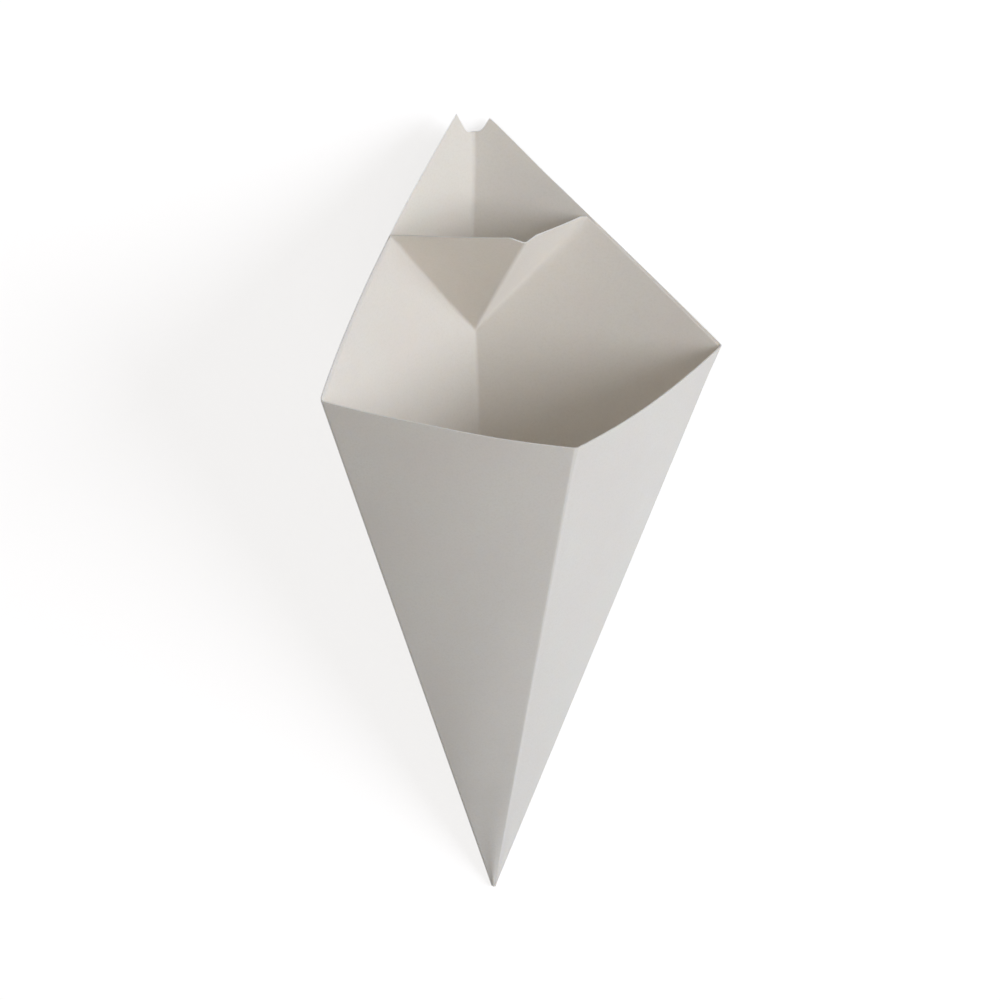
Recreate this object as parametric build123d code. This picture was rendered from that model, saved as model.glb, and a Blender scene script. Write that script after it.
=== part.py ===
from build123d import *
import os
from math import acos, asin, cos, radians, sin, sqrt, tan

# A fry cone folded from one sheet of card, with a dip pocket in its tall back.
# The sheet is wound one and a half times round its point, so the back is two layers. Above two
# creases in a V, the inner layer is popped forward as the front of the pocket.
# Lengths are in millimetres and angles in degrees.

# The folded sheet
card = 0.4
side_fold = 200.0
panel_angle = 22.5
back_fold_angle = 119.0
tip_blunting = 2.4
inner_fold_radius = 0.2
tip_fold_radius = 0.15

# How far each panel bulges out, at the mouth. The cone rests on its back right panel, which is
# pressed flat.
back_left_bow = 3.7
front_left_bow = 3.0
front_right_bow = 2.5
back_right_bow = 0.1

# The notch at the top of the back fold
notch_side = 8.9
notch_corner_radius = 3.3

# The dip pocket: its rim falls from a square cut at the top of its fold to the ends of the creases
pocket_crease = 50.5
pocket_crease_angle = 45.0
pocket_lean = 38.5
pocket_fold = 53.0
pocket_rim_top = 55.8
inner_layer_inset = 0.7

# Fold directions, with the virtual point at the origin, the cone's axis along Z and its front at -Y
half_mouth = asin(sin(radians(panel_angle)) * sin(radians(back_fold_angle / 2)))
half_depth = acos(cos(radians(panel_angle)) / cos(half_mouth))
mouth_height = side_fold * cos(half_mouth)
front_fold = side_fold * cos(radians(panel_angle))
back_length = side_fold * (cos(radians(panel_angle)) + sin(radians(panel_angle)))
along_back = Vector(0, sin(half_depth), cos(half_depth))
along_front = Vector(0, -sin(half_depth), cos(half_depth))
top = back_length * along_back
reach = 2 * back_length
RIGHT, LEFT = 1, -1


def along_side(side):
    return Vector(side * sin(half_mouth), 0, cos(half_mouth))


def across_back(side):
    """Direction in a back panel, square to the back fold."""
    return (along_side(side) - along_back * cos(radians(panel_angle))) / sin(radians(panel_angle))


def back_normal(side):
    """Outward normal of a back panel."""
    return along_back.cross(along_side(side)).normalized() * side


def inward(front_wall, back_wall):
    """Move that takes the cone's outside to an inside with these wall thicknesses."""
    normal = back_normal(RIGHT)
    return Pos(0, (front_wall - back_wall) / (2 * normal.Y), -(front_wall + back_wall) / (2 * normal.Z))


# The cone: four panels between the folds
def panel_side(start, end, bow):
    run = end - start
    outward = Vector(run.Y, -run.X).normalized()
    return ThreePointArc(start, start + run / 2 + outward * bow, end)


def section(height, radius):
    half_width = height * tan(half_mouth)
    half_thick = height * tan(half_depth)
    right = Vector(half_width, 0)
    back = Vector(0, half_thick)
    scale = height / mouth_height
    sides = Curve() + [
        panel_side(right, back, back_right_bow * scale),
        panel_side(back, -right, back_left_bow * scale),
        panel_side(-right, -back, front_left_bow * scale),
        panel_side(-back, right, front_right_bow * scale),
    ]
    outline = make_face(sides)
    return Pos(0, 0, height) * fillet(outline.vertices(), radius)


def cone(radius):
    point = section(tip_blunting, tip_fold_radius)
    mouth = section(top.Z * 1.1, radius)
    flat = Plane(origin=(0, 0, 0), z_dir=back_normal(RIGHT))
    return split(loft([point, mouth], ruled=True), bisect_by=flat, keep=Keep.BOTTOM)


# Cuts along the edges of the sheet
def above_front():
    """What lies over the front rim, which is cut square to the front fold."""
    rim = front_fold * along_front
    drop = (mouth_height - rim.Z) / -rim.Y
    outline = Polyline(
        (0, mouth_height),
        (-reach, mouth_height - drop * reach),
        (-reach, reach),
        (0, reach),
        close=True,
    )
    return extrude(Plane.YZ * make_face(outline), amount=reach, both=True)


def above_back(side, inset):
    """What lies over the straight upper edge of a back panel, cut square to the card."""
    corner = side_fold * along_side(side)
    edge = (top - corner).normalized()
    upward = back_normal(side).cross(edge) * side
    over = Plane(origin=corner - upward * inset, x_dir=edge, z_dir=upward)
    slab = over * Box(2 * reach, 2 * reach, reach, align=(Align.CENTER, Align.CENTER, Align.MIN))
    quarter = Pos(side * reach / 2, reach / 2, 0) * Box(reach, reach, 2 * reach)
    return slab & quarter


def notch():
    """Square notch at the top of the back fold, with a rounded corner."""
    depth = notch_side * sqrt(2)
    spread = across_back(RIGHT).X
    outline = make_face(Polyline((0, -depth), (depth * spread, 0), (-depth * spread, 0), close=True))
    outline = fillet(outline.vertices().sort_by(Axis.Y)[0], notch_corner_radius)
    face = Plane(origin=top, x_dir=(1, 0, 0), z_dir=Vector(1, 0, 0).cross(along_back)) * outline
    return extrude(face, amount=pocket_crease / 2, both=True)


# The pocket's front: two flat panels either side of a fold that leans forward from its root
lean = Vector(0, -sin(radians(pocket_lean)), cos(radians(pocket_lean)))
crease_angle = radians(pocket_crease_angle)
root_height = back_length - pocket_crease * (cos(crease_angle) + sin(crease_angle))
inner_point = inward(card, 2 * card).position
root = inner_point + along_back * (root_height - inner_point.dot(along_back))
crease = along_back * cos(crease_angle) + across_back(RIGHT) * sin(crease_angle)
across = (crease - lean * crease.dot(lean)).normalized()


def behind_pocket_front(setback, radius):
    """Wedge behind the pocket's front, from the back of the cone to the pocket's fold."""
    plane = Plane(origin=root, x_dir=(1, 0, 0), z_dir=lean)
    side = plane.to_local_coords(across + root) * pocket_fold * 2
    outline = make_face(Polyline((0, 0), (side.X, side.Y), (-side.X, side.Y), close=True))
    outline = fillet(outline.vertices().sort_by(Axis.Y)[0], radius)
    face = plane * Pos(0, setback / across.X) * outline
    return extrude(face, amount=2 * pocket_fold, both=True)


def above_pocket():
    """What lies over the pocket's rim, in outline from the side."""
    crease_end = root + crease * (pocket_crease - inner_layer_inset)
    rim = root + lean * pocket_rim_top - crease_end
    end_height = (crease_end - root).dot(lean)
    cut_corner = crease_end + rim * ((pocket_fold - end_height) / (pocket_rim_top - end_height))
    behind = crease_end - rim * (reach / rim.length)
    before = cut_corner + Vector(0, -lean.Z, lean.Y) * reach
    outline = Polyline(
        (behind.Y, behind.Z),
        (cut_corner.Y, cut_corner.Z),
        (before.Y, before.Z),
        (before.Y, 3 * reach),
        (behind.Y, 3 * reach),
        close=True,
    )
    return extrude(Plane.YZ * make_face(outline), amount=reach, both=True)


# Outer layer: all four panels
inside = inward(card, card) * cone(inner_fold_radius + card)
outer_layer = cone(inner_fold_radius + 2 * card) - inside
outer_layer -= above_front()
outer_layer -= above_back(LEFT, 0)
outer_layer -= above_back(RIGHT, 0)
outer_layer -= notch()

# Inner layer: glued to the back below the V creases, popped forward above them
lining = inside - inward(0, 2 * card) * cone(inner_fold_radius)
inner_layer = lining + (behind_pocket_front(0, inner_fold_radius + card) & inside)
inner_layer -= behind_pocket_front(card, inner_fold_radius)
inner_layer -= above_pocket()
inner_layer -= above_front()
inner_layer -= above_back(LEFT, inner_layer_inset)
inner_layer -= above_back(RIGHT, inner_layer_inset)

# Laid down on the flat back right panel, point towards -Y and back fold along +Y
floor = Plane(origin=(0, 0, 0), x_dir=across_back(RIGHT), z_dir=-back_normal(RIGHT))
lying = floor.to_local_coords(outer_layer + inner_layer)
middle = lying.bounding_box().center()
fry_cone = Pos(-middle.X, -middle.Y, 0) * lying

os.makedirs("parts", exist_ok=True)
export_step(fry_cone, "parts/fry_cone.step")
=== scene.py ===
from math import acos, asin, atan2, cos, pi, radians, sin, sqrt

import bmesh
import bpy
from mathutils import Matrix, Vector


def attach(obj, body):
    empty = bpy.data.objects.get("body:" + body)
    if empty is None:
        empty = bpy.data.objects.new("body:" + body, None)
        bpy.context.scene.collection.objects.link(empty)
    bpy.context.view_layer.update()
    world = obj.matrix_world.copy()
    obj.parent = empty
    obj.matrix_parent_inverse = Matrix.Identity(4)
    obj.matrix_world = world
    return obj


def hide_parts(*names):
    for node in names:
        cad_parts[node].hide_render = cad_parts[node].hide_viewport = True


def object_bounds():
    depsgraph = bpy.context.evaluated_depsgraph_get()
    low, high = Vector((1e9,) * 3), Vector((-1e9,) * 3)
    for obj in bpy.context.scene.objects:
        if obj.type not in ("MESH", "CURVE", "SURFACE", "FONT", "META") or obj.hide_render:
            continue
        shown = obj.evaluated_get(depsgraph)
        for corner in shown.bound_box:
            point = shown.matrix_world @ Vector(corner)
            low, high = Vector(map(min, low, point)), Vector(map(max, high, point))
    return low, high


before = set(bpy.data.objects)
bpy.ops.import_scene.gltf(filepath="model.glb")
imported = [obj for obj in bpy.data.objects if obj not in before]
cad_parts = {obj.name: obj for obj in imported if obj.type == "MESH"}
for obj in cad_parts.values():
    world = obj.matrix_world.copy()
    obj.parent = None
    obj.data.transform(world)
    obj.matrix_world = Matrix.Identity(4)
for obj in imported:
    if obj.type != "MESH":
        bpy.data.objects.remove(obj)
cad_low, cad_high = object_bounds()

# A fry cone folded from one sheet of card, lying on its back right panel. Metres and radians.
# The sheet is wound one and a half times round its point: inner back right, inner back left,
# front left, front right, outer back right, outer back left. Each panel is a fan of rays from
# the point. Above two creases in a V, the inner back panels stand forward as the pocket's front.

# The sheet
CARD = 0.0004
GLUE_LINE = 0.00004
SIDE_FOLD = 0.200
PANEL_ANGLE = radians(22.5)
BACK_FOLD_ANGLE = radians(119.0)
POINT_GAP = 0.0027

# The back's long left edge: the share of its thickness that is left, and the width that is thinned
THIN_EDGE = 0.1
THIN_BAND = 0.0016

# Half the width of a fold's bend, and the shares of the distances from the point and from the
# pocket's root to which it narrows there
FOLD_BEND = 0.0009
FOLD_BEND_SHARE = 0.004
ROOT_BEND_SHARE = 0.25
SMALLEST_BEND = 0.00001

# How far the lighter line along a fold, partly crease whitening and partly a painted highlight, reaches to
# either side of it
FOLD_MARK_REACH = 0.0011

# How far each panel bulges at the mouth, and the slight unevenness of pressed card
BACK_RIGHT_BOW = 0.0016
BACK_LEFT_BOW = 0.0037
FRONT_LEFT_BOW = 0.0030
FRONT_RIGHT_BOW = 0.0025
WARP = 0.00022
WARP_LENGTH = 0.085
WARP_SLANT = 3
RIM_CURL = 0.00035
RIM_CURL_DEPTH = 0.012

# The notch at the top of the back. The fold below it leans to the right, and the edges beside it
# are a little higher on the left and lower on the right.
NOTCH_DEPTH = 0.0101
NOTCH_FLAT = 0.0026
NOTCH_SLOPE = 1.6
NOTCH_ROUNDING = 0.0012
TOP_LEAN = 0.0015
TOP_LEAN_START = 0.015
TOP_LEAN_LENGTH = 0.027
LEFT_TOP_RISE = 0.0030
RIGHT_TOP_DROP = 0.0008

# The corner at the left fold sits a little lower than the one at the right
LEFT_CORNER_DROP = 0.0012

# The dip pocket: its left crease is sharp, and its right one softens towards the rim
POCKET_CREASE = 0.0505
POCKET_LEAN = radians(38.5)
POCKET_FOLD = 0.0530
POCKET_RIM_TOP = 0.0558
POCKET_FLATTENING = 0.02
INNER_INSET = 0.0007
CREASE_BEND = 0.0009
RIGHT_RIM_BEND = 0.0034

# Fineness of the mesh: rays across a panel and rows along a ray
FOLD_RAYS = 3
NOTCH_RAYS = 10
EVEN_RAYS = 26
WALL_ROWS = 50
BEND_ROWS = 9
FRONT_ROWS = 22
EDGE_BAND = 0.0018
SAME_PLACE = 0.000001
SHARP_ANGLE = radians(40)

# The notch's first ray, and the ends of the even rays as shares of the notch's and the panel's angles
FIRST_NOTCH_RAY = 0.005
FIRST_EVEN_SHARE = 1.25
LAST_EVEN_SHARE = 0.985

# Folds as directions from the sheet's point, with the cone's axis along Z and its front at -Y
half_mouth = asin(sin(PANEL_ANGLE) * sin(BACK_FOLD_ANGLE / 2))
half_depth = acos(cos(PANEL_ANGLE) / cos(half_mouth))
BACK = Vector((0, sin(half_depth), cos(half_depth)))
FRONT = Vector((0, -sin(half_depth), cos(half_depth)))
LEFT = Vector((-sin(half_mouth), 0, cos(half_mouth)))
RIGHT = Vector((sin(half_mouth), 0, cos(half_mouth)))
LEAN = Vector((0, -sin(POCKET_LEAN), cos(POCKET_LEAN)))

# Points of the flat panels: across from the middle fold, and along it
back_length = SIDE_FOLD * (cos(PANEL_ANGLE) + sin(PANEL_ANGLE))
back_top = Vector((0, back_length))
corner = Vector((SIDE_FOLD * sin(PANEL_ANGLE), SIDE_FOLD * cos(PANEL_ANGLE)))
left_corner = corner * (1 - LEFT_CORNER_DROP / SIDE_FOLD)
root = back_length - POCKET_CREASE * sqrt(2)
crease_across = (POCKET_CREASE - INNER_INSET) / sqrt(2)
crease_end = Vector((crease_across, root + crease_across))
crease_end_angle = atan2(crease_end.x, crease_end.y)


def smooth(t):
    t = min(max(t, 0), 1)
    return t * t * (3 - 2 * t)


def into_panel(fold, other):
    """Direction in the panel between two folds, square to the first."""
    return (other - fold * cos(PANEL_ANGLE)) / sin(PANEL_ANGLE)


def outward(middle, side):
    """Normal of a panel, away from the cone's axis."""
    normal = middle.cross(side).normalized()
    return normal if normal.dot(middle * 2 - RIGHT - LEFT) > 0 else -normal


def wall_shift(front, back):
    """Move that takes the cone's outside in by these distances at the front and at the back."""
    normal = outward(BACK, RIGHT)
    return Vector((0, (front - back) / (2 * normal.y), -(front + back) / (2 * normal.z)))


outer_shift = wall_shift(CARD / 2, CARD / 2)
inner_shift = wall_shift(CARD / 2, CARD * 1.5 + GLUE_LINE)


# Edges of the sheet, as distances from its point along a ray of a panel
def ray_to_line(angle, start, end):
    run = end - start
    return (start.x * run.y - start.y * run.x) / (sin(angle) * run.y - cos(angle) * run.x)


def bend_ramp(distance, bend):
    """Distance past a corner or crease, rounded over a bend to either side of it."""
    if abs(distance) >= bend:
        return max(distance, 0)
    return (distance + bend) ** 2 / (4 * bend)


def past_crease(angle, r):
    """Distance of a point of a back panel past the V crease."""
    return (r * (cos(angle) - sin(angle)) - root) / sqrt(2)


def top_share(angle, r):
    """How much of the lean of the back's top a point takes part in."""
    return smooth((past_crease(angle, r) - TOP_LEAN_START) / TOP_LEAN_LENGTH)


def top_rise(side):
    """How much higher the edge is at the top of a back panel."""
    return LEFT_TOP_RISE if side == LEFT else -RIGHT_TOP_DROP


def notch_peak(side):
    """Angle of the ray to the peak beside the notch."""
    rise = top_rise(side)
    across = (NOTCH_DEPTH + rise + NOTCH_SLOPE * NOTCH_FLAT) / (1 + NOTCH_SLOPE)
    return atan2(across, back_length + rise - across)


def notch_edge(angle):
    bottom = back_length - NOTCH_DEPTH
    rise = NOTCH_SLOPE * bend_ramp(bottom * angle - NOTCH_FLAT, NOTCH_ROUNDING)
    return (bottom + rise) / cos(angle)


def front_edge(angle, side):
    drop = LEFT_CORNER_DROP * smooth(2 * angle / PANEL_ANGLE - 1) if side == LEFT else 0
    return corner.y / cos(angle) - drop


def back_edge(angle, side):
    end = left_corner if side == LEFT else corner
    upright = ray_to_line(angle, back_top, end)
    rise = top_rise(side) * top_share(angle, upright)
    return min(ray_to_line(angle - rise / upright, back_top, end), notch_edge(angle))


def inner_edge(angle, side):
    if angle < crease_end_angle:
        rim = ray_to_line(angle, Vector((0, root + POCKET_RIM_TOP)), crease_end)
        return min(rim, (root + POCKET_FOLD) / cos(angle))
    end = left_corner if side == LEFT else corner - Vector((0, INNER_INSET * sqrt(2)))
    return ray_to_line(angle, crease_end, end)


# Rounded folds
NO_MOVE = Vector((0, 0, 0))


def fold_bend(r):
    return min(FOLD_BEND, FOLD_BEND_SHARE * r)


def bend_offset(distance, bend, one, other):
    """Rounds a fold: moves what lies near it towards its inside."""
    if distance >= bend:
        return NO_MOVE
    return (one + other) * (bend - distance) ** 2 / (4 * bend)


def fold_whitening_and_highlight(distance):
    """How strongly a fold that lies at this distance lightens the card: partly crease whitening, partly a
    painted highlight.
    """
    return max(0, 1 - abs(distance) / FOLD_MARK_REACH)


class Panel:
    """One panel of the sheet, between the middle fold of the front or back and a side fold."""

    def __init__(self, middle, side, edge, shift, bow, middle_mate, side_mate=None, warp=0, curl=0):
        self.middle, self.side, self.edge, self.shift = middle, side, edge, shift
        self.bow, self.warp, self.curl = bow, warp, curl
        self.middle_mate, self.side_mate = middle_mate, side_mate
        self.normal = outward(middle, side)
        self.across = into_panel(middle, side)

    def crease_on(self, angle):
        """Where a ray meets the panel's crease, or else its edge, and half the bend's length there."""
        return self.edge(angle, self.side), EDGE_BAND

    def rows(self, angle):
        """Distances of a ray's points from the sheet's point, closer together at a crease."""
        end = self.edge(angle, self.side)
        crease, spread = self.crease_on(angle)
        below, above = min(crease, end) - spread, min(crease + spread, end)
        wall = [POINT_GAP + (below - POINT_GAP) * k / WALL_ROWS for k in range(WALL_ROWS)]
        bend = [below + (above - below) * k / BEND_ROWS for k in range(BEND_ROWS)]
        front = [above + (end - above) * k / FRONT_ROWS for k in range(FRONT_ROWS + 1)]
        return wall + bend + front

    def on_plane(self, angle, r):
        """A point of the flat panel, in the middle of the card's thickness."""
        ray = self.middle * cos(angle) + self.across * sin(angle)
        return self.shift + ray * (r - self.shift.dot(ray))

    def bulge(self, angle, r):
        share = angle / PANEL_ANGLE
        bow = 4 * share * (1 - share) * r / SIDE_FOLD
        wave = sin(2 * pi * r / WARP_LENGTH + WARP_SLANT * share) * sin(pi * share)
        return self.bow * bow + self.warp * wave

    def side_bend(self, angle, r):
        if not self.side_mate:
            return NO_MOVE
        distance = r * sin(PANEL_ANGLE - angle)
        inside = into_panel(self.side, self.middle)
        return bend_offset(distance, fold_bend(r), inside, into_panel(self.side, self.side_mate))

    def middle_bend(self, angle, r):
        mate = into_panel(self.middle, self.middle_mate)
        return bend_offset(r * sin(angle), fold_bend(r), self.across, mate)

    def point(self, angle, r):
        curl = self.curl * smooth(1 - (self.edge(angle, self.side) - r) / RIM_CURL_DEPTH)
        place = self.on_plane(angle, r) + self.normal * (self.bulge(angle, r) + curl)
        return place + self.side_bend(angle, r) + self.middle_bend(angle, r)

    def fullness(self, angle, r):
        """Share of the way from the thin edge to the card's full thickness."""
        return 1

    # Weight of the lighter line along the folds, partly crease whitening and partly a painted highlight
    def mark(self, angle, r):
        middle = fold_whitening_and_highlight(r * sin(angle))
        side = fold_whitening_and_highlight(r * sin(PANEL_ANGLE - angle)) if self.side_mate else 0
        return max(middle, side)


class BackLayer(Panel):
    """A panel of either layer of the back, whose long left edge is pressed thin.

    The edge is thin from the ray at thin_from on. It is pressed out where press is 1 and in where it
    is -1, so that the two layers stay together.
    """

    def fullness(self, angle, r):
        if self.side == RIGHT or angle < self.thin_from:
            return 1
        return min((self.edge(angle, self.side) - r) / THIN_BAND, 1)

    def pressed(self, angle, r):
        """Move that keeps the thin edge against the other layer."""
        return self.normal * self.press * (1 - THIN_EDGE) * (1 - self.fullness(angle, r)) * CARD / 2


class OuterBack(BackLayer):
    """An outer back panel, whose top leans a little to the right."""

    thin_from = notch_peak(LEFT)
    press = -1

    def point(self, angle, r):
        lean = into_panel(BACK, RIGHT) * TOP_LEAN * top_share(angle, r)
        return super().point(angle, r) + lean + self.pressed(angle, r)


def popped_across(side):
    """Direction in a flat pocket front panel, square to the pocket's fold."""
    return (into_panel(BACK, side) - LEAN + BACK).normalized()


class InnerBack(BackLayer):
    """An inner back panel, with half of the pocket's front above its V crease."""

    thin_from = crease_end_angle
    press = 1

    def __init__(self, rim_bend, *settings, **options):
        super().__init__(*settings, **options)
        self.rim_bend = rim_bend

    def bend_at(self, angle):
        return CREASE_BEND + (self.rim_bend - CREASE_BEND) * smooth(angle / crease_end_angle)

    def crease_on(self, angle):
        slope = cos(angle) - sin(angle)
        return root / slope, self.bend_at(angle) * sqrt(2) / slope

    def middle_bend(self, angle, r):
        above_root = r * cos(angle) - root
        bend = min(fold_bend(r), ROOT_BEND_SHARE * abs(above_root) + SMALLEST_BEND)
        one, other = popped_across(LEFT), popped_across(RIGHT)
        if above_root < 0:
            one, other = self.across, into_panel(self.middle, self.middle_mate)
        return bend_offset(r * sin(angle), bend, one, other)

    def point(self, angle, r):
        past = past_crease(angle, r)
        bulge = self.bulge(angle, r) * (1 - smooth(past / POCKET_FLATTENING))
        popped = (LEAN - BACK) * sqrt(2) * bend_ramp(past, self.bend_at(angle))
        place = self.on_plane(angle, r) + popped + self.normal * bulge + self.pressed(angle, r)
        return place + self.side_bend(angle, r) + self.middle_bend(angle, r)


def sheet():
    """The panels, in the order in which the sheet is wound."""
    soft = {"warp": WARP}
    rim = {"warp": WARP, "curl": RIM_CURL}
    return [
        InnerBack(RIGHT_RIM_BEND, BACK, RIGHT, inner_edge, inner_shift, BACK_RIGHT_BOW, LEFT),
        InnerBack(CREASE_BEND, BACK, LEFT, inner_edge, inner_shift, BACK_LEFT_BOW, RIGHT, FRONT, **soft),
        Panel(FRONT, LEFT, front_edge, inner_shift, FRONT_LEFT_BOW, RIGHT, BACK, **rim),
        Panel(FRONT, RIGHT, front_edge, outer_shift, FRONT_RIGHT_BOW, LEFT, BACK, **rim),
        OuterBack(BACK, RIGHT, back_edge, outer_shift, BACK_RIGHT_BOW, LEFT, FRONT),
        OuterBack(BACK, LEFT, back_edge, outer_shift, BACK_LEFT_BOW, RIGHT, **soft),
    ]


# The mesh: rays across each panel, some at a fixed distance from its folds
def near_middle(share):
    return lambda r: share * fold_bend(r) / r


def near_side(share):
    return lambda r: PANEL_ANGLE - share * fold_bend(r) / r


def straight(angle):
    return lambda r: angle


def panel_rays():
    """Functions that give a ray's angle from the middle fold, at a distance from the point."""
    notch = notch_peak(RIGHT) - FIRST_NOTCH_RAY
    angles = [FIRST_NOTCH_RAY + notch * k / NOTCH_RAYS for k in range(NOTCH_RAYS + 1)]
    angles.append(notch_peak(LEFT))
    first, last = FIRST_EVEN_SHARE * notch_peak(LEFT), LAST_EVEN_SHARE * PANEL_ANGLE
    spread = [first + (last - first) * k / EVEN_RAYS for k in range(EVEN_RAYS + 1)]
    nearest = min(range(EVEN_RAYS), key=lambda k: abs(spread[k] - crease_end_angle))
    spread[nearest] = crease_end_angle
    shares = [k / FOLD_RAYS for k in range(FOLD_RAYS + 1)]
    return (
        [near_middle(share) for share in shares]
        + [straight(angle) for angle in angles + spread]
        + [near_side(share) for share in shares[::-1]]
    )


def lay_down(place):
    """Turns the cone's own frame so that the bulge of its back right panel lies on the floor."""
    lying = Matrix((into_panel(BACK, RIGHT), BACK, -outward(BACK, RIGHT))) @ place
    return lying + Vector((0, 0, BACK_RIGHT_BOW * lying.y / SIDE_FOLD))


def sheet_rays():
    """Each panel with each of its rays, in the order in which the sheet is wound."""
    rays = panel_rays()
    panels = sheet()
    for number, panel in enumerate(panels):
        order = rays if number % 2 else rays[::-1]
        if number:
            order = order[1:]
        if panel is panels[-1]:
            order = order[:-FOLD_RAYS]
        for ray in order:
            yield panel, ray


def sheet_mesh():
    """The sheet with no thickness: a line of points along each ray, joined to the line before it."""
    mesh = bmesh.new()
    # Weight of the lighter fold line, partly crease whitening and partly a painted highlight
    mark = mesh.verts.layers.float.new("fold_whitening_and_highlight")
    full = mesh.verts.layers.deform.verify()
    previous = None
    for panel, ray in sheet_rays():
        line = []
        for r in panel.rows(ray(SIDE_FOLD)):
            vertex = mesh.verts.new(lay_down(panel.point(ray(r), r)))
            vertex[mark] = panel.mark(ray(r), r)
            vertex[full][0] = panel.fullness(ray(r), r)
            line.append(vertex)
        if previous:
            for corners in zip(previous, previous[1:], line[1:], line):
                mesh.faces.new(corners)
        previous = line
    bmesh.ops.remove_doubles(mesh, verts=mesh.verts, dist=SAME_PLACE)
    bmesh.ops.dissolve_degenerate(mesh, edges=mesh.edges, dist=SAME_PLACE)
    data = bpy.data.meshes.new("fry_cone_card")
    mesh.to_mesh(data)
    mesh.free()
    return data


def thicken(card):
    """Gives the sheet its thickness, with the outside and the cut edges in materials of their own."""
    full = card.vertex_groups.new(name="full_thickness")
    thick = card.modifiers.new("card", "SOLIDIFY")
    thick.thickness = CARD
    thick.offset = 0
    thick.use_even_offset = True
    thick.vertex_group = full.name
    thick.thickness_vertex_group = THIN_EDGE
    thick.material_offset = 1
    thick.material_offset_rim = 2
    depsgraph = bpy.context.evaluated_depsgraph_get()
    solid = bpy.data.meshes.new_from_object(card.evaluated_get(depsgraph))
    card.modifiers.clear()
    card.data = solid
    return solid


def build_card():
    """The card, in the middle of the CAD's box from side to side, with its point at the box's near end."""
    card = bpy.data.objects.new("fry_cone_card", sheet_mesh())
    bpy.context.scene.collection.objects.link(card)
    card.data.materials.append(card_material("card_inside", INSIDE))
    card.data.materials.append(card_material("card_outside", OUTSIDE))
    card.data.materials.append(edge_material())
    solid = thicken(card)
    solid.polygons.foreach_set("use_smooth", [True] * len(solid.polygons))
    solid.set_sharp_from_angle(angle=SHARP_ANGLE)
    across = [vertex.co.x for vertex in solid.vertices]
    lowest = min(vertex.co.y for vertex in solid.vertices)
    sideways = (cad_low.x + cad_high.x - min(across) - max(across)) / 2
    solid.transform(Matrix.Translation((sideways, cad_low.y - lowest, 0)))
    return card


# Materials: matt white card that lets some light through, warmer on its uncoated inside
OUTSIDE = (0.826, 0.812, 0.776)
INSIDE = (0.902, 0.862, 0.799)
CUT_EDGE = (0.900, 0.885, 0.855)
CARD_ROUGHNESS = (0.76, 0.88)
CARD_GLOSS = 0.28
EDGE_ROUGHNESS = 0.92
LIGHT_THROUGH = 0.6
LIGHT_DEPTH = 0.0004
LIGHT_COLOUR = (1.0, 0.9, 0.75)

# Tints of the card, as shares of its colour
CLOUD_DARK = (0.975, 0.975, 0.97)
CLOUD_LIGHT = (1.02, 1.02, 1.02)
DRIFT_PINK = (1.015, 0.985, 0.985)
DRIFT_GREEN = (0.985, 1.0, 0.985)
GRAIN_DARK = (0.95, 0.945, 0.93)
FIBRE_DARK = (0.95, 0.95, 0.93)
FIBRE_LIGHT = (1.03, 1.03, 1.03)
# Folds are lighter by this share: partly crease whitening, partly a painted highlight
FOLD_WHITENING_AND_HIGHLIGHT = 1.03
LIGHTEST = 0.95

# Patterns of the card, and the part of each pattern's range that is used
CLOUDS = {"Scale": 55, "Detail": 4, "Roughness": 0.55}
CLOUD_RANGE = (0.3, 0.7)
DRIFTS = {"Scale": 13, "Detail": 2, "Roughness": 0.55}
DRIFT_RANGE = (0.32, 0.68)
GRAIN = {"Scale": 1500, "Detail": 4, "Roughness": 0.65}
GRAIN_RANGE = (0.45, 0.75)
# Breaks in the lighter fold line, which is partly crease whitening and partly a painted highlight
FOLD_WEAR_AND_HIGHLIGHT = {"Scale": 900, "Detail": 3, "Roughness": 0.55}
FOLD_WEAR_AND_HIGHLIGHT_RANGE = (0.35, 0.6)
LEAST_FOLD_WEAR_AND_HIGHLIGHT = 0.35
EDGE_FIBRES = {"Scale": 3000, "Detail": 4, "Roughness": 0.7}
EDGE_FIBRE_RANGE = (0.3, 0.7)

# Relief of the card: fibres along it and across it, and shallow dimples
LONG_FIBRES = {"Scale": 2600, "Detail": 3, "Roughness": 0.6}
LONG_STRETCH = (1, 0.22, 1)
LONG_RELIEF = {"Strength": 0.36, "Distance": 0.00006}
CROSS_FIBRES = {"Scale": 2100, "Detail": 3, "Roughness": 0.6}
CROSS_STRETCH = (0.25, 1, 1)
CROSS_RELIEF = {"Strength": 0.30, "Distance": 0.00006}
DIMPLES = {"Scale": 260, "Detail": 3, "Roughness": 0.55}
DIMPLE_RELIEF = {"Strength": 0.10, "Distance": 0.0004}
EDGE_RELIEF = {"Strength": 0.3, "Distance": 0.00006}


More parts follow.
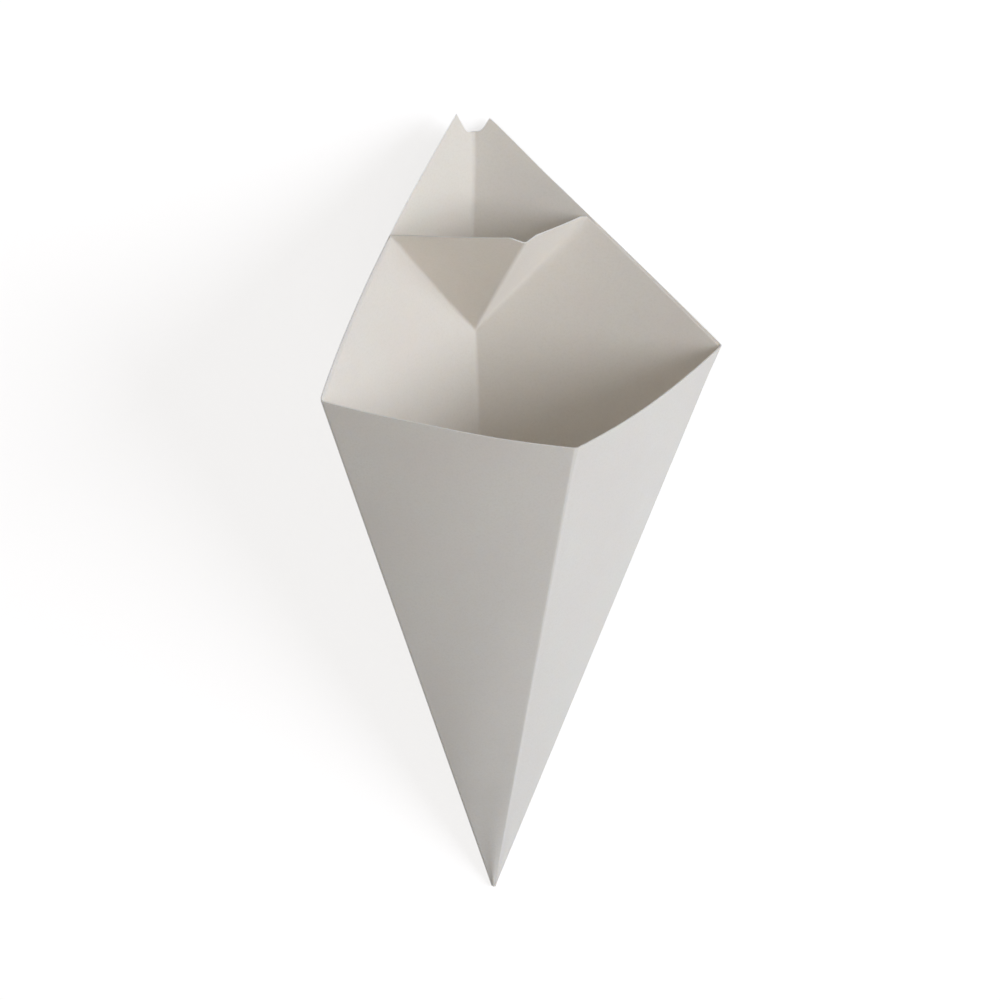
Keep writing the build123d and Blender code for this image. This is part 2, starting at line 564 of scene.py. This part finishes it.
class Graph:
    """The nodes of a material or of the sky."""

    def __init__(self, tree):
        self.nodes, self.links = tree.nodes, tree.links

    def fill(self, socket, value):
        """Links a socket to an output, or sets it to a plain value."""
        if isinstance(value, bpy.types.NodeSocket):
            self.links.new(value, socket)
        else:
            socket.default_value = value

    def add(self, kind, **inputs):
        node = self.nodes.new(kind)
        for name, value in inputs.items():
            self.fill(node.inputs[name], value)
        return node

    def place(self):
        return self.nodes.new("ShaderNodeTexCoord").outputs["Object"]

    def noise(self, place, pattern):
        return self.add("ShaderNodeTexNoise", Vector=place, **pattern).outputs["Fac"]

    def stretched(self, place, scale):
        return self.add("ShaderNodeMapping", Vector=place, Scale=scale).outputs["Vector"]

    def ranged(self, value, given, wanted=(0, 1)):
        """Spreads a range of a value over another one."""
        ends = {"From Min": given[0], "From Max": given[1], "To Min": wanted[0], "To Max": wanted[1]}
        return self.add("ShaderNodeMapRange", Value=value, **ends).outputs["Result"]

    def bump(self, height, relief, **before):
        return self.add("ShaderNodeBump", Height=height, **relief, **before).outputs["Normal"]

    def mix(self, factor, one, other):
        node = self.nodes.new("ShaderNodeMix")
        node.data_type = "RGBA"
        for name, value in (("Factor", factor), ("A", one), ("B", other)):
            self.fill(node.inputs[name], value)
        return node.outputs["Result"]

    def combine(self, operation, one, other):
        node = self.nodes.new("ShaderNodeMath")
        node.operation = operation
        node.use_clamp = True
        self.fill(node.inputs[0], one)
        self.fill(node.inputs[1], other)
        return node.outputs["Value"]


def new_material(name):
    material = bpy.data.materials.new(name)
    material.use_nodes = True
    return material, Graph(material.node_tree), material.node_tree.nodes["Principled BSDF"].inputs


def tinted(colour, tint):
    return tuple(value * share for value, share in zip(colour, tint)) + (1,)


def let_light_through(surface):
    surface["Subsurface Weight"].default_value = LIGHT_THROUGH
    surface["Subsurface Scale"].default_value = LIGHT_DEPTH
    surface["Subsurface Radius"].default_value = LIGHT_COLOUR


def card_colour(graph, place, colour, cloud):
    """A cloudy formation, faint tints, grain, and lighter lines along the folds that are partly crease
    whitening and partly a painted highlight.
    """
    drift = graph.ranged(graph.noise(place, DRIFTS), DRIFT_RANGE)
    plain = graph.mix(cloud, tinted(colour, CLOUD_DARK), tinted(colour, CLOUD_LIGHT))
    tint = graph.mix(cloud, tinted(colour, DRIFT_PINK), tinted(colour, DRIFT_GREEN))
    base = graph.mix(drift, plain, tint)
    grain = graph.ranged(graph.noise(place, GRAIN), GRAIN_RANGE)
    base = graph.mix(grain, base, tinted(colour, GRAIN_DARK))

    # Painted highlight along the folds, mixed with real crease whitening
    mark = graph.nodes.new("ShaderNodeAttribute")
    mark.attribute_name = "fold_whitening_and_highlight"
    broken = graph.ranged(graph.noise(place, FOLD_WEAR_AND_HIGHLIGHT), FOLD_WEAR_AND_HIGHLIGHT_RANGE, (LEAST_FOLD_WEAR_AND_HIGHLIGHT, 1))
    worn_and_highlit = graph.combine("MULTIPLY", mark.outputs["Fac"], broken)
    lighter = tuple(min(value * FOLD_WHITENING_AND_HIGHLIGHT, LIGHTEST) for value in colour) + (1,)
    return graph.mix(worn_and_highlit, base, lighter)


def card_relief(graph, place):
    """Pressed fibres and dimples."""
    lengthways = graph.noise(graph.stretched(place, LONG_STRETCH), LONG_FIBRES)
    crossways = graph.noise(graph.stretched(place, CROSS_STRETCH), CROSS_FIBRES)
    relief = graph.bump(lengthways, LONG_RELIEF)
    relief = graph.bump(crossways, CROSS_RELIEF, Normal=relief)
    return graph.bump(graph.noise(place, DIMPLES), DIMPLE_RELIEF, Normal=relief)


def card_material(name, colour):
    material, graph, surface = new_material(name)
    place = graph.place()
    cloud = graph.ranged(graph.noise(place, CLOUDS), CLOUD_RANGE)
    graph.fill(surface["Base Color"], card_colour(graph, place, colour, cloud))
    graph.fill(surface["Roughness"], graph.ranged(cloud, (0, 1), CARD_ROUGHNESS))
    graph.fill(surface["Normal"], card_relief(graph, place))
    surface["Specular IOR Level"].default_value = CARD_GLOSS
    let_light_through(surface)
    return material


def edge_material():
    """The cut edge: the card's white core, with its fibres."""
    material, graph, surface = new_material("card_edge")
    fibres = graph.ranged(graph.noise(graph.place(), EDGE_FIBRES), EDGE_FIBRE_RANGE)
    base = graph.mix(fibres, tinted(CUT_EDGE, FIBRE_DARK), tinted(CUT_EDGE, FIBRE_LIGHT))
    graph.fill(surface["Base Color"], base)
    graph.fill(surface["Normal"], graph.bump(fibres, EDGE_RELIEF))
    surface["Roughness"].default_value = EDGE_ROUGHNESS
    let_light_through(surface)
    return material


# The cone
cone = build_card()
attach(cone, "root")
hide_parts("fry_cone")

# The floor and the sky: white where they are seen, plain grey where they only light the cone
FLOOR_SIZE = 6.0
FLOOR_DROP = 0.0001
FLOOR_GREY = (0.78, 0.78, 0.78, 1)
FLOOR_GLOW = 0.62
SKY_GREY = (0.289, 0.278, 0.273, 1)
WHITE = (1, 1, 1, 1)


def seen(graph):
    """One for what the camera sees, straight or in a reflection or through glass."""
    path = graph.nodes.new("ShaderNodeLightPath").outputs
    mirrored = graph.combine("ADD", path["Is Camera Ray"], path["Is Glossy Ray"])
    return graph.combine("ADD", mirrored, path["Is Transmission Ray"])


def build_floor():
    bpy.ops.mesh.primitive_plane_add(size=FLOOR_SIZE, location=(0, 0, -FLOOR_DROP))
    floor = bpy.context.object
    floor.name = "floor"
    material, graph, surface = new_material("floor_white")
    surface["Base Color"].default_value = FLOOR_GREY
    surface["Roughness"].default_value = 1
    surface["Specular IOR Level"].default_value = 0
    surface["Emission Color"].default_value = WHITE
    graph.fill(surface["Emission Strength"], graph.ranged(seen(graph), (0, 1), (0, FLOOR_GLOW)))
    floor.data.materials.append(material)


def build_sky():
    world = bpy.data.worlds.new("sky")
    bpy.context.scene.world = world
    world.use_nodes = True
    graph = Graph(world.node_tree)
    background = graph.nodes["Background"].inputs
    graph.fill(background["Color"], graph.mix(seen(graph), SKY_GREY, WHITE))


# Light: a soft lamp low on the right, a weak one high in front, and an even sky
KEY_PLACE = (1.80, 0.217, 0.865)
KEY_SIZE = 1.45
KEY_POWER = 22
KEY_COLOUR = (0.972, 1.0, 1.066)
FILL_PLACE = (-0.5, -0.806, 1.732)
FILL_SIZE = 2.0
FILL_POWER = 3.5
FILL_COLOUR = (1.03, 1.0, 0.95)
LAMP_TARGET = (0, 0.06, 0)


def build_lamp(name, place, size, power, colour):
    data = bpy.data.lights.new(name, "AREA")
    data.shape = "DISK"
    data.size = size
    data.energy = power
    data.color = colour
    lamp = bpy.data.objects.new(name, data)
    lamp.location = place
    lamp.rotation_euler = (Vector(LAMP_TARGET) - Vector(place)).to_track_quat("-Z", "Y").to_euler()
    bpy.context.scene.collection.objects.link(lamp)


# The camera looks down on the lying cone, from over its mouth
CAMERA_PLACE = Vector((0.1035, 0.2586, 0.8665))
CAMERA_TARGET = Vector((-0.0139, 0.0052, 0.0))
CAMERA_ROLL = radians(-1.74)
FOCAL_WIDTHS = 2.889


def build_camera():
    data = bpy.data.cameras.new("camera")
    data.lens = FOCAL_WIDTHS * data.sensor_width
    camera = bpy.data.objects.new("camera", data)
    back = (CAMERA_PLACE - CAMERA_TARGET).normalized()
    right = Vector((0, 1, 0)).cross(back).normalized()
    level = Matrix((right, back.cross(right), back)).transposed().to_4x4()
    camera.matrix_world = Matrix.Translation(CAMERA_PLACE) @ level @ Matrix.Rotation(CAMERA_ROLL, 4, "Z")
    bpy.context.scene.collection.objects.link(camera)
    bpy.context.scene.camera = camera


build_floor()
build_sky()
build_lamp("key", KEY_PLACE, KEY_SIZE, KEY_POWER, KEY_COLOUR)
build_lamp("fill", FILL_PLACE, FILL_SIZE, FILL_POWER, FILL_COLOUR)
build_camera()
bpy.context.scene.view_settings.view_transform = "Standard"

bpy.context.view_layer.update()
